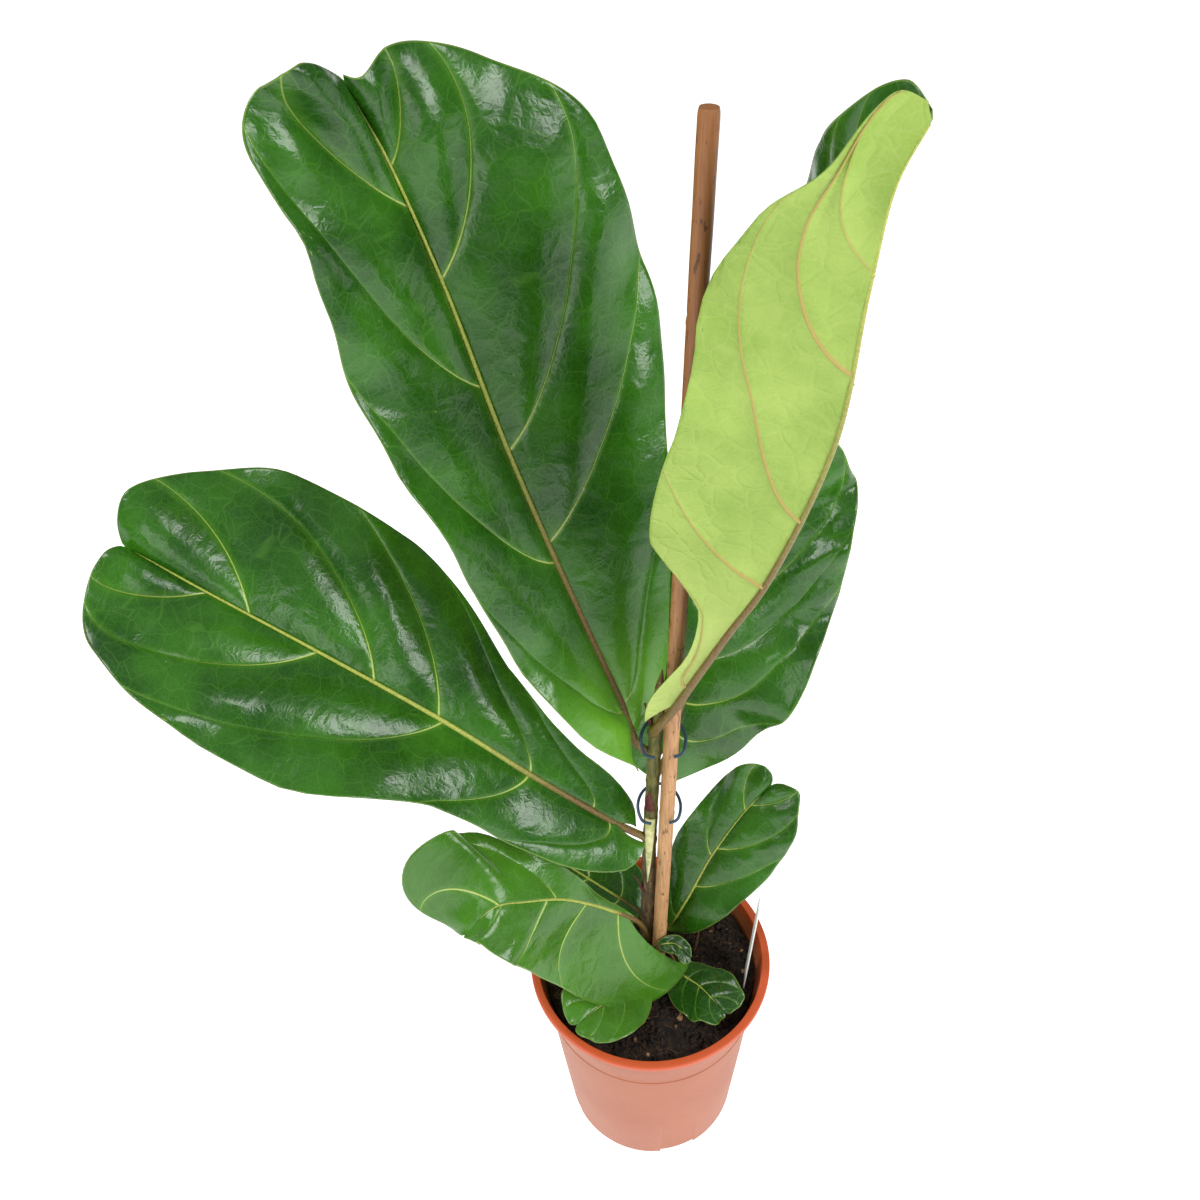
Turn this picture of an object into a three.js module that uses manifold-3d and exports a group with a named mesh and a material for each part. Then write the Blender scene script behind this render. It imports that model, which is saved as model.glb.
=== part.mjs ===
// A young fiddle leaf fig in a round plastic nursery pot, tied to a cane.
// Millimetres, +Z up. The origin is the centre of the pot's underside.
import * as THREE from 'three';
import { mergeVertices } from 'three/addons/utils/BufferGeometryUtils.js';
import Module from 'manifold-3d';

const wasm = await Module();
wasm.setup();

// ---- driving dimensions -------------------------------------------------------------------
const gap = 0.3; // between pieces that touch

const pot = {
  height: 176,
  lipRadius: 85,
  lipInner: 79.2,
  lipDepth: 4,
  collarDepth: 18, // from the top down to where the collar steps in
  collarRadius: 80.5,
  shoulderRadius: 76.4, // wall just under the collar
  footRadius: 63.4,
  wall: 1.6,
  discRadius: 34, // the flat centre of the underside
  channelInner: 37,
  channelOuter: 55,
  channelRise: 3,
  floor: 1.9,
  drainHoles: 6,
  drainRadius: 3.5,
  notches: 4,
  notchWidth: 27,
  notchHeight: 5,
  notchTurn: -75, // degrees from +X to the first notch
};
const soil = { top: 165, edgeDrop: 3, clearance: gap };
const cane = { radius: 4.75, foot: [0.6, -4.8, 31], lean: [0.039, 0.037], length: 731 };
const stem = {
  path: [[-1, 8, 140], [-0.5, 8, 205], [0.5, 9.5, 270], [3, 12.5, 335], [5.5, 15, 385], [8, 15.5, 425]],
  footRadius: 5,
  topRadius: 4,
};
const bud = { length: 24, radius: 3 };
const clip = { wire: 1, radius: 13.5, mouth: 62, backRise: 6 };
const label = { width: 16, thickness: 0.9, length: 140, foot: [63.5, -14, 111], turn: 78, lean: 3.5 };
const twig = { radius: 1.1, length: 44, foot: [31, 10, 152], lean: [0.1, -0.05] };
const bladeThickness = 1;

// Each leaf: midrib from the stem to the tip, length of the bare petiole, the way the upper
// side looks at base and tip, ray lengths on both sides at the stations, and the fold of each
// half towards the upper side in degrees, at the base and where given beyond it.
const leaves = {
  leaf_top_left: {
    midrib: [[4, 15, 374], [-6, 16, 387], [-11, 22, 405], [-32, 40, 460], [-68, 66, 564], [-94, 84, 657],
      [-113, 88, 720], [-125, 78, 759]],
    petiole: 26, stalk: 3, face: [[0.5, -0.85, 0.45], [0.42, -0.9, 0.35]], fold: [22, 8],
    left: [28, 36, 48, 54, 66, 86, 94, 100, 70, 46, 3],
    right: [4, 28, 44, 64, 90, 131, 129, 90, 47, 16, 3],
  },
  leaf_left: {
    midrib: [[1, 10, 298], [-20, 6, 321], [-71, 12, 365], [-119, 22, 405], [-189, 40, 451], [-251, 58, 487],
      [-292, 70, 512]],
    petiole: 32, stalk: 2.8, face: [[0.25, -0.55, 0.8], [0.2, -0.6, 0.75]], fold: [10, 10],
    left: [24, 42, 42, 44, 54, 98, 101, 85, 49, 23, 3],
    right: [20, 28, 28, 34, 52, 101, 109, 86, 57, 28, 3],
  },
  leaf_top_right: {
    midrib: [[4, 12, 399], [6, 3, 413], [11, -1, 426], [18, -4, 444], [43, -12, 503], [58, -18, 538], [81, -36, 635],
      [84, -50, 716], [87, -58, 761], [95, -62, 784]],
    petiole: 46, stalk: 3, face: [[-0.6, 0.8, 0.1], [-0.6, 0.8, 0.1]], fold: [28, 52],
    foldBeyond: [72, 52], rayStart: [-62, -15, 0, 16, 20, 26, 34, 40], rayEnd: [-80, -30, -3, 24, 32, 41, 46, 55],
    left: [8, 14, 20, 30, 44, 72, 78, 64, 40, 25, 3],
    right: [28, 24, 12, 18, 61, 73, 75, 57, 27, 20, 3],
  },
  leaf_rear_right: {
    midrib: [[5, 14, 355], [14, 33, 353], [23, 43, 383], [35, 50, 420], [57, 74, 478], [74, 88, 525], [84, 94, 558]],
    petiole: 31, stalk: 2.6, face: [[-0.2, -1, 0.3], [-0.1, -0.8, 0.6]], fold: [4, 4],
    left: [26, 38, 50, 62, 70, 72, 74, 60, 46, 26, 6],
    right: [28, 40, 50, 62, 70, 76, 73, 57, 38, 25, 9],
  },
  leaf_lower_right: {
    midrib: [[-1, 9, 183], [14, 13, 190], [25, 14, 215], [45, 26, 255], [68, 36, 290], [84, 40, 310]],
    petiole: 17, stalk: 1.8, face: [[-0.2, -0.6, 0.75], [-0.1, -0.6, 0.75]], fold: [4, 4],
    left: [3, 8, 12, 18, 25, 33, 34, 35, 25, 13, 2],
    right: [4, 10, 18, 25, 35, 49, 50, 41, 29, 14, 2],
  },
  leaf_front: {
    midrib: [[-1, 7, 190], [-10, -8, 233], [-25, -12, 251], [-55, -26, 287], [-79, -38, 304], [-96, -46, 312],
      [-116, -54, 296]],
    petiole: 56, stalk: 2, face: [[0, -0.6, 0.8], [-0.1, -0.6, 0.8]], fold: [-8, -8],
    left: [80, 82, 63, 57, 56, 51, 40, 27, 15, 7, 2],
    right: [6, 5, 5, 7, 12, 28, 60, 64, 26, 12, 2],
  },
  leaf_rear_left: {
    midrib: [[-2, 10, 204], [-10, 18, 208], [-33, 32, 216], [-61, 48, 226], [-96, 66, 240]],
    petiole: 14, stalk: 1.8, face: [[0.2, -0.5, 0.8], [0.2, -0.5, 0.8]], fold: [6, 6],
    left: [8, 17, 26, 30, 33, 33, 30, 26, 18, 11, 3],
    right: [8, 17, 26, 30, 33, 33, 30, 26, 18, 11, 3],
  },
  leaf_small_front: {
    midrib: [[-1, 5, 172], [-8, -16, 177], [-22, -33, 184], [-39, -46, 186], [-52, -55, 184]],
    petiole: 23, stalk: 1.3, face: [[0.1, -0.3, 1], [-0.1, -0.3, 1]], fold: [3, 3],
    left: [9, 12, 15, 22, 28, 31, 27, 19, 12, 7, 2],
    right: [9, 12, 15, 22, 28, 31, 30, 21, 12, 7, 2],
  },
  leaf_small_right: {
    midrib: [[1, 9, 169], [13, 6, 170], [21, -13, 172], [33, -27, 177], [40, -38, 180], [48, -48, 178]],
    petiole: 35, stalk: 1.2, face: [[-0.1, -0.3, 1], [0.1, -0.3, 1]], fold: [3, 3],
    left: [8, 11, 13, 15, 18, 25, 25, 19, 10, 6, 2],
    right: [8, 13, 18, 22, 25, 26, 22, 17, 8, 5, 2],
  },
  leaf_small_foot: {
    midrib: [[-1, 5, 184], [0.5, -3, 191], [8, -7, 200], [17, -9, 203], [27, -16, 197]],
    petiole: 22, stalk: 1, face: [[-0.1, -0.6, 1], [0.1, -0.6, 1]], fold: [10, 10],
    left: [2, 3, 4, 5, 6, 7, 7, 5, 3, 2, 1],
    right: [2, 4, 5, 7, 8, 10, 10, 9, 6, 4, 1],
  },
};

// Sheaths left where leaves grew out: pointed scales against the stem. Each has the height of
// its base, its place round the stem in degrees from +X, its length (down where negative), its
// width and how far its tip stands off.
const sheaths = {
  stipule_upper: { height: 404, turn: 195, length: 20, width: 5, stand: 4 },
  stipule_middle: { height: 330, turn: 250, length: 22, width: 6, stand: 4 },
  stipule_lower: { height: 246, turn: 200, length: 18, width: 5, stand: 5 },
  dry_stipule: { height: 322, turn: 262, length: -60, width: 6, stand: 2 },
};
const sheathThickness = 0.8;

// ---- materials -------------------------------------------------------------------------------
const material = (color, roughness) => new THREE.MeshStandardMaterial({ color, roughness, metalness: 0 });
const finishes = {
  terracotta: material('#d9785a', 0.45),
  compost: material('#1e140f', 0.95),
  bamboo: material('#a8714a', 0.6),
  bark: material('#4a3a22', 0.7),
  leaf: material('#23591f', 0.3),
  sheath: material('#4a1f18', 0.7),
  straw: material('#e2dca8', 0.6),
  wire: material('#2b3a3a', 0.35),
  white: material('#f4f4f2', 0.4),
};

// ---- solids ----------------------------------------------------------------------------------
const vector = (p) => new THREE.Vector3(...p);
const radians = THREE.MathUtils.degToRad;

function toSolid(geometry) {
  const bare = geometry.clone();
  bare.deleteAttribute('normal');
  bare.deleteAttribute('uv');
  const merged = mergeVertices(bare, 1e-4);
  return new wasm.Manifold(new wasm.Mesh({
    numProp: 3,
    vertProperties: new Float32Array(merged.attributes.position.array),
    triVerts: new Uint32Array(merged.index.array),
  }));
}

function toGeometry(solid) {
  const mesh = solid.getMesh();
  const geometry = new THREE.BufferGeometry();
  geometry.setAttribute('position', new THREE.BufferAttribute(mesh.vertProperties, mesh.numProp));
  geometry.setIndex(new THREE.BufferAttribute(mesh.triVerts, 1));
  return geometry;
}

// A number that changes smoothly through its values at the stations.
function smoothValue(stations, values, at) {
  const last = stations.length - 1;
  const slope = (i) => {
    const a = Math.max(i - 1, 0);
    const b = Math.min(i + 1, last);
    return (values[b] - values[a]) / (stations[b] - stations[a]);
  };
  let i = 0;
  while (i < last - 1 && at > stations[i + 1]) i += 1;
  const span = stations[i + 1] - stations[i];
  const t = (at - stations[i]) / span;
  return values[i] * (2 * t ** 3 - 3 * t ** 2 + 1) + slope(i) * span * (t ** 3 - 2 * t ** 2 + t)
    + values[i + 1] * (3 * t ** 2 - 2 * t ** 3) + slope(i + 1) * span * (t ** 3 - t ** 2);
}

// A number that changes in straight steps between the stations.
function linearValue(stations, values, at) {
  let i = 0;
  while (i < stations.length - 2 && at > stations[i + 1]) i += 1;
  const t = (at - stations[i]) / (stations[i + 1] - stations[i]);
  return THREE.MathUtils.lerp(values[i], values[i + 1], t);
}

// A closed tube of round sections, one at each centre, square to the next centre.
function loft(centres, radii, sides) {
  const points = [];
  const index = [];
  let across = new THREE.Vector3(1, 0, 0);
  centres.forEach((centre, i) => {
    const ahead = centres[Math.min(i + 1, centres.length - 1)];
    const behind = centres[Math.max(i - 1, 0)];
    const along = ahead.clone().sub(behind).normalize();
    if (i === 0 && Math.abs(along.x) > 0.9) across = new THREE.Vector3(0, 1, 0);
    across = across.clone().addScaledVector(along, -across.dot(along)).normalize();
    const up = along.clone().cross(across);
    for (let k = 0; k < sides; k += 1) {
      const turn = (2 * Math.PI * k) / sides;
      points.push(centre.clone()
        .addScaledVector(across, radii[i] * Math.cos(turn))
        .addScaledVector(up, radii[i] * Math.sin(turn)));
    }
  });
  for (let i = 0; i < centres.length - 1; i += 1) {
    for (let k = 0; k < sides; k += 1) {
      const a = i * sides + k;
      const b = i * sides + ((k + 1) % sides);
      index.push(a, b, b + sides, a, b + sides, a + sides);
    }
  }
  const first = points.push(centres[0].clone()) - 1;
  const last = points.push(centres[centres.length - 1].clone()) - 1;
  const end = (centres.length - 1) * sides;
  for (let k = 0; k < sides; k += 1) {
    const next = (k + 1) % sides;
    index.push(first, next, k, last, end + k, end + next);
  }
  const geometry = new THREE.BufferGeometry().setFromPoints(points);
  geometry.setIndex(index);
  return geometry;
}

// ---- pot, soil, cane, label --------------------------------------------------------------------
const shoulderHeight = pot.height - pot.collarDepth;
const wallRadius = (z) => THREE.MathUtils.mapLinear(z, 0, shoulderHeight, pot.footRadius, pot.shoulderRadius);

function potSolid() {
  const channel = 2; // width of the slopes beside the drainage channel
  const profile = [
    [0, 0], [pot.discRadius, 0], [pot.discRadius + channel, pot.channelRise],
    [pot.channelOuter, pot.channelRise], [pot.channelOuter + channel, 0], [pot.footRadius - 1, 0],
    [pot.footRadius, 1], [pot.shoulderRadius, shoulderHeight],
    [pot.collarRadius - 0.6, shoulderHeight + pot.wall], [pot.collarRadius, pot.height - pot.lipDepth],
    [pot.lipRadius - 0.6, pot.height - pot.lipDepth], [pot.lipRadius, pot.height - pot.lipDepth + 1],
    [pot.lipRadius, pot.height - 1], [pot.lipRadius - 1, pot.height], [pot.lipInner + 1, pot.height],
    [pot.lipInner, pot.height - 1], [pot.collarRadius - pot.wall - 0.8, shoulderHeight + 2 * pot.wall],
    [pot.shoulderRadius - pot.wall, shoulderHeight - pot.wall],
    [pot.footRadius - pot.wall, pot.floor + 1], [pot.footRadius - pot.wall - 1, pot.floor],
    [pot.channelOuter + channel, pot.floor], [pot.channelOuter, pot.floor + pot.channelRise],
    [pot.channelInner, pot.floor + pot.channelRise], [pot.discRadius + 1, pot.floor], [0, pot.floor],
  ].map(([r, z]) => new THREE.Vector2(r, z));
  let solid = toSolid(new THREE.LatheGeometry(profile, 40).rotateX(Math.PI / 2));
  const channelMiddle = (pot.channelInner + pot.channelOuter) / 2;
  for (let i = 0; i < pot.drainHoles; i += 1) {
    const turn = (2 * Math.PI * i) / pot.drainHoles;
    const drill = new THREE.CylinderGeometry(pot.drainRadius, pot.drainRadius, 20, 10).rotateX(Math.PI / 2);
    drill.translate(channelMiddle * Math.cos(turn), channelMiddle * Math.sin(turn), 0);
    solid = solid.subtract(toSolid(drill));
  }
  for (let i = 0; i < pot.notches; i += 1) {
    const cutter = new THREE.BoxGeometry(10, pot.notchWidth, 2 * pot.notchHeight);
    cutter.translate(pot.footRadius, 0, 0);
    cutter.rotateZ(radians(pot.notchTurn + (360 * i) / pot.notches));
    solid = solid.subtract(toSolid(cutter));
  }
  return solid;
}

function caneGeometry(extra = 0) {
  const way = new THREE.Vector3(...cane.lean, 1).normalize();
  const radius = cane.radius + extra;
  const shaft = new THREE.CylinderGeometry(radius, radius, cane.length + 2 * extra, 14);
  shaft.applyQuaternion(new THREE.Quaternion().setFromUnitVectors(new THREE.Vector3(0, 1, 0), way));
  const middle = vector(cane.foot).addScaledVector(way, cane.length / 2);
  return shaft.translate(...middle.toArray());
}

const stemCurve = new THREE.CatmullRomCurve3(stem.path.map(vector), false, 'centripetal');

function stemGeometry(extra = 0) {
  const steps = 12;
  const centres = stemCurve.getSpacedPoints(steps);
  centres[0].z -= extra;
  const radii = centres.map((_, i) => THREE.MathUtils.lerp(stem.footRadius, stem.topRadius, i / steps) + extra);
  return loft(centres, radii, 10);
}

function budGeometry() {
  const start = stemCurve.getPointAt(1);
  const way = stemCurve.getTangentAt(1);
  const shape = [[gap, 0.7], [4, 1], [10, 0.9], [17, 0.55], [bud.length, 0.12]];
  const centres = shape.map(([height]) => start.clone().addScaledVector(way, height));
  return loft(centres, shape.map(([, share]) => share * bud.radius), 8);
}

function labelGeometry(extra = 0) {
  const half = label.width / 2 + extra;
  const point = 26; // length of the tapered end
  const outline = new THREE.Shape([
    [-2 - extra, -extra], [2 + extra, -extra], [half, point], [half, label.length - 4],
    [half - 4, label.length + extra], [4 - half, label.length + extra], [-half, label.length - 4], [-half, point],
  ].map(([x, y]) => new THREE.Vector2(x, y)));
  const depth = label.thickness + 2 * extra;
  const blade = new THREE.ExtrudeGeometry(outline, { depth, bevelEnabled: false });
  blade.translate(0, 0, -depth / 2).rotateX(Math.PI / 2).rotateZ(radians(label.turn));
  return blade.rotateY(radians(label.lean)).translate(...label.foot);
}

function twigGeometry(extra = 0) {
  const way = new THREE.Vector3(...twig.lean, 1).normalize();
  const foot = vector(twig.foot);
  const centres = [-extra, twig.length * 0.5, twig.length + extra].map((s) => foot.clone().addScaledVector(way, s));
  centres[1].x += 1;
  return loft(centres, [1, 0.9, 0.7].map((share) => share * twig.radius + extra), 6);
}

function soilSolid() {
  const low = pot.floor + pot.channelRise + soil.clearance;
  const inside = (z) => wallRadius(z) - pot.wall - soil.clearance;
  const edge = soil.top - soil.edgeDrop;
  const shoulder = shoulderHeight - pot.wall;
  const profile = [
    [0, low], [inside(low) - 1, low], [inside(shoulder) - 0.4, shoulder], [inside(shoulder), edge],
    [inside(shoulder) * 0.6, soil.top - 1], [0, soil.top],
  ].map(([r, z]) => new THREE.Vector2(r, z));
  let solid = toSolid(new THREE.LatheGeometry(profile, 40).rotateX(Math.PI / 2));
  for (const piece of [caneGeometry, stemGeometry, labelGeometry, twigGeometry]) {
    solid = solid.subtract(toSolid(piece(gap)));
  }
  return solid;
}

// ---- wire clips ----------------------------------------------------------------------------------
// An open ring round stem and cane: it dips at the front, where both ends hook inwards.
function clipGeometry(height) {
  const onStem = stemAt(height).point;
  const onCane = vector(cane.foot);
  onCane.add(new THREE.Vector3(...cane.lean, 1).multiplyScalar(height - cane.foot[2]));
  const centre = onStem.add(onCane).multiplyScalar(0.5).setZ(height);
  const points = [];
  const turns = 14;
  for (let i = 0; i <= turns; i += 1) {
    const turn = radians(-90 + clip.mouth / 2 + ((360 - clip.mouth) * i) / turns);
    const hook = Math.max(0, Math.abs(i - turns / 2) - turns / 2 + 1);
    const radius = clip.radius - 2.5 * hook;
    points.push(new THREE.Vector3(
      centre.x + radius * Math.cos(turn),
      centre.y + radius * Math.sin(turn),
      centre.z + clip.backRise * Math.sin(turn),
    ));
  }
  const section = new THREE.Shape().absarc(0, 0, clip.wire, 0, 2 * Math.PI);
  const path = new THREE.CatmullRomCurve3(points, false, 'centripetal');
  return new THREE.ExtrudeGeometry(section, { steps: 30, curveSegments: 3, extrudePath: path });
}

// ---- leaves ----------------------------------------------------------------------------------------
// A blade is a fan of curved rays from the midrib to the margin. The first rays point back, which
// makes the lobes at the base, and the last ones point forward, which makes the notch at the tip.
const lengthStations = [0, 0.05, 0.12, 0.2, 0.28, 0.45, 0.62, 0.78, 0.9, 0.96, 1];
const angleStations = [0, 0.12, 0.28, 0.45, 0.62, 0.78, 0.9, 1];
const rayStart = [-62, 5, 25, 30, 34, 40, 48, 60];
const rayEnd = [-95, -20, 22, 38, 46, 55, 66, 80];

function leafFrame(leaf, curve, share) {
  const length = curve.getLength();
  const at = THREE.MathUtils.clamp((leaf.petiole + share * (length - leaf.petiole)) / length, 0, 1);
  const along = curve.getTangentAt(at);
  const face = vector(leaf.face[0]).lerp(vector(leaf.face[1]), Math.max(share, 0));
  face.addScaledVector(along, -face.dot(along)).normalize();
  return { point: curve.getPointAt(at), along, face, across: along.clone().cross(face) };
}

function rayPoint(leaf, frame, share, side, reach) {
  const startTurn = radians(linearValue(angleStations, leaf.rayStart ?? rayStart, share));
  const endTurn = radians(linearValue(angleStations, leaf.rayEnd ?? rayEnd, share));
  const length = Math.max(smoothValue(lengthStations, side < 0 ? leaf.left : leaf.right, share), 1);
  const near = reach - reach ** 2 / 2;
  const far = reach ** 2 / 2;
  const lateral = length * (Math.cos(startTurn) * near + Math.cos(endTurn) * far);
  const forward = length * (Math.sin(startTurn) * near + Math.sin(endTurn) * far);
  const half = side < 0 ? 0 : 1;
  const beyond = THREE.MathUtils.smoothstep(share, 0.1, 0.3);
  const fold = radians(THREE.MathUtils.lerp(leaf.fold[half], (leaf.foldBeyond ?? leaf.fold)[half], beyond));
  return frame.point.clone()
    .addScaledVector(frame.across, side * lateral * Math.cos(fold))
    .addScaledVector(frame.face, lateral * Math.sin(fold))
    .addScaledVector(frame.along, forward);
}

// A thin closed sheet from a grid of points, half its thickness to each side.
function sheet(grid, thickness) {
  const rows = grid.length;
  const columns = grid[0].length;
  const middle = new THREE.BufferGeometry().setFromPoints(grid.flat());
  const faces = [];
  for (let i = 0; i < rows - 1; i += 1) {
    for (let j = 0; j < columns - 1; j += 1) {
      const a = i * columns + j;
      faces.push(a, a + 1, a + columns + 1, a, a + columns + 1, a + columns);
    }
  }
  middle.setIndex(faces);
  middle.computeVertexNormals();
  const normals = middle.attributes.normal;
  const points = [];
  for (const side of [1, -1]) {
    grid.flat().forEach((point, i) => {
      const normal = new THREE.Vector3().fromBufferAttribute(normals, i);
      points.push(point.clone().addScaledVector(normal, (side * thickness) / 2));
    });
  }
  const count = rows * columns;
  const index = [...faces];
  for (let i = 0; i < faces.length; i += 3) {
    index.push(faces[i] + count, faces[i + 2] + count, faces[i + 1] + count);
  }
  const border = [];
  for (let j = 0; j < columns - 1; j += 1) border.push(j);
  for (let i = 0; i < rows - 1; i += 1) border.push(i * columns + columns - 1);
  for (let j = columns - 1; j > 0; j -= 1) border.push((rows - 1) * columns + j);
  for (let i = rows - 1; i > 0; i -= 1) border.push(i * columns);
  border.forEach((a, k) => {
    const b = border[(k + 1) % border.length];
    index.push(b, a, a + count, b, a + count, b + count);
  });
  const geometry = new THREE.BufferGeometry().setFromPoints(points);
  geometry.setIndex(index);
  return geometry;
}

function leafSolid(leaf) {
  const curve = new THREE.CatmullRomCurve3(leaf.midrib.map(vector), false, 'centripetal');
  const size = curve.getLength();
  const rows = size > 200 ? 13 : 9;
  const half = size > 100 ? 3 : 2;
  const grid = [];
  for (let i = 0; i <= rows; i += 1) {
    const share = i / rows;
    const frame = leafFrame(leaf, curve, share);
    const row = [];
    for (let j = -half; j <= half; j += 1) {
      row.push(rayPoint(leaf, frame, share, Math.sign(j) || 1, Math.abs(j) / half));
    }
    grid.push(row);
  }
  const bladeEnd = 0.8; // where the thick part of the midrib ends, as a share of the blade
  const steps = size > 200 ? 10 : 7;
  const centres = [];
  const radii = [];
  for (let i = 0; i <= steps; i += 1) {
    const at = (i / steps) * (leaf.petiole + bladeEnd * (size - leaf.petiole));
    const share = (at - leaf.petiole) / (size - leaf.petiole);
    const frame = leafFrame(leaf, curve, share);
    const radius = leaf.stalk * THREE.MathUtils.lerp(1, 0.35, i / steps);
    centres.push(frame.point.addScaledVector(frame.face, -0.5 * radius));
    radii.push(radius);
  }
  return toSolid(sheet(grid, bladeThickness)).add(toSolid(loft(centres, radii, 5)));
}

// The middle and the radius of the stem at a height.
function stemAt(height) {
  let low = 0;
  let high = 1;
  while (high - low > 1e-4) {
    const middle = (low + high) / 2;
    if (stemCurve.getPointAt(middle).z < height) low = middle;
    else high = middle;
  }
  return { point: stemCurve.getPointAt(low), radius: THREE.MathUtils.lerp(stem.footRadius, stem.topRadius, low) };
}

function sheathGeometry({ height, turn, length, width, stand }) {
  const out = new THREE.Vector3(Math.cos(radians(turn)), Math.sin(radians(turn)), 0);
  const foot = stemAt(height);
  const top = stemAt(height + length);
  const away = gap + sheathThickness / 2 + 0.15;
  const start = foot.point.addScaledVector(out, foot.radius + away);
  const end = top.point.addScaledVector(out, top.radius + away + stand);
  const along = end.clone().sub(start).normalize();
  const across = along.clone().cross(out).normalize();
  const rows = 5;
  const grid = [];
  for (let i = 0; i <= rows; i += 1) {
    const share = i / rows;
    const spread = (width / 2) * (1 - share ** 2) + 0.3;
    const centre = start.clone().lerp(end, share);
    const row = [-1, -0.5, 0, 0.5, 1].map((side) => centre.clone()
      .addScaledVector(across, -side * spread)
      .addScaledVector(out, -0.35 * spread * side ** 2));
    grid.push(row);
  }
  return sheet(grid, sheathThickness);
}

// ---- the plant, put together -------------------------------------------------------------------------
const plant = new THREE.Group();

function place(name, geometry, finish) {
  const mesh = new THREE.Mesh(geometry, finish);
  mesh.name = name;
  plant.add(mesh);
}

place('pot', toGeometry(potSolid()), finishes.terracotta);
place('soil', toGeometry(soilSolid()), finishes.compost);
place('cane', toGeometry(toSolid(caneGeometry())), finishes.bamboo);
place('main_stem', stemGeometry(), finishes.bark);
place('bud', budGeometry(), finishes.leaf);
place('clip_upper', clipGeometry(392), finishes.wire);
place('clip_lower', clipGeometry(332), finishes.wire);
place('plant_label', toGeometry(toSolid(labelGeometry())), finishes.white);
place('twig', twigGeometry(), finishes.bark);

const stemRoom = toSolid(stemGeometry(gap));
for (const [name, leaf] of Object.entries(leaves)) {
  place(name, toGeometry(leafSolid(leaf).subtract(stemRoom)), finishes.leaf);
}
for (const [name, sheath] of Object.entries(sheaths)) {
  place(name, sheathGeometry(sheath), name === 'dry_stipule' ? finishes.straw : finishes.sheath);
}

export default plant;
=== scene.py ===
"""A young fiddle leaf fig in a round nursery pot, tied to a cane with two wire clips."""
import math

import bpy
import numpy as np
from mathutils import Matrix, Vector


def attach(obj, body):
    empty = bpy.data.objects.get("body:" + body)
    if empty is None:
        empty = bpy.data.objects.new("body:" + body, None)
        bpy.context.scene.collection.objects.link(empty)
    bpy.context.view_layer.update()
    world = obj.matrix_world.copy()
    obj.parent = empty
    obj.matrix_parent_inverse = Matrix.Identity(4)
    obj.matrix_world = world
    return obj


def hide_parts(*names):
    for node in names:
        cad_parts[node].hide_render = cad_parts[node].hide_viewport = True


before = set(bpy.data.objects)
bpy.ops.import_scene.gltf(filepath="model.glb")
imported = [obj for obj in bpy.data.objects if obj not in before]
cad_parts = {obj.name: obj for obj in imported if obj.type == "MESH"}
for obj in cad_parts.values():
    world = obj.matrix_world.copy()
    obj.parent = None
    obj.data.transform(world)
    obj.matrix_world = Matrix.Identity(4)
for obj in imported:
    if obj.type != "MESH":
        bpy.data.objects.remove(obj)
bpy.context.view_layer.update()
MM = 0.001


# ---- numbers and curves ------------------------------------------------------------------------

def unit(v):
    v = np.asarray(v, float)
    return v / np.linalg.norm(v, axis=-1, keepdims=True)


def monotone(knots, values, at):
    """A smooth curve through the values that never overshoots them."""
    knots = np.asarray(knots, float)
    values = np.asarray(values, float)
    step = np.diff(knots)
    rise = np.diff(values) / step
    slope = np.zeros(len(knots))
    slope[0] = rise[0]
    slope[-1] = rise[-1]
    same = rise[:-1] * rise[1:] > 0
    mean = 2 * rise[:-1] * rise[1:] / np.where(same, rise[:-1] + rise[1:], 1)
    slope[1:-1] = np.where(same, mean, 0)
    i = np.clip(np.searchsorted(knots, at, side="right") - 1, 0, len(step) - 1)
    t = (at - knots[i]) / step[i]
    start = values[i] * (2 * t**3 - 3 * t**2 + 1) + slope[i] * step[i] * (t**3 - 2 * t**2 + t)
    end = values[i + 1] * (3 * t**2 - 2 * t**3) + slope[i + 1] * step[i] * (t**3 - t**2)
    return start + end


def smooth_path(points, count=400):
    """Points along a centripetal Catmull-Rom curve through the given ones."""
    p = np.asarray(points, float)
    p = np.vstack([2 * p[0] - p[1], p, 2 * p[-1] - p[-2]])
    knots = np.r_[0, np.cumsum(np.linalg.norm(np.diff(p, axis=0), axis=1) ** 0.5)]
    at = np.linspace(knots[1], knots[-2], count)
    i = np.clip(np.searchsorted(knots, at, side="right") - 1, 1, len(p) - 3)
    t = at[:, None]
    k = [knots[i + j][:, None] for j in (-1, 0, 1, 2)]
    q = [p[i + j] for j in (-1, 0, 1, 2)]
    a = [(k[j + 1] - t) / (k[j + 1] - k[j]) * q[j] + (t - k[j]) / (k[j + 1] - k[j]) * q[j + 1]
         for j in range(3)]
    b = [(k[j + 2] - t) / (k[j + 2] - k[j]) * a[j] + (t - k[j]) / (k[j + 2] - k[j]) * a[j + 1]
         for j in range(2)]
    return (k[2] - t) / (k[2] - k[1]) * b[0] + (t - k[1]) / (k[2] - k[1]) * b[1]


class Path:
    """A curve in space, looked up by the length along it."""

    def __init__(self, points):
        self.points = smooth_path(points)
        steps = np.linalg.norm(np.diff(self.points, axis=0), axis=1)
        self.lengths = np.r_[0, np.cumsum(steps)]
        self.total = self.lengths[-1]

    def at(self, length):
        return np.stack([np.interp(length, self.lengths, self.points[:, k]) for k in range(3)], -1)

    def along(self, length):
        ahead = self.at(np.minimum(length + 1.5 * MM, self.total))
        behind = self.at(np.maximum(length - 1.5 * MM, 0))
        return unit(ahead - behind)


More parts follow.
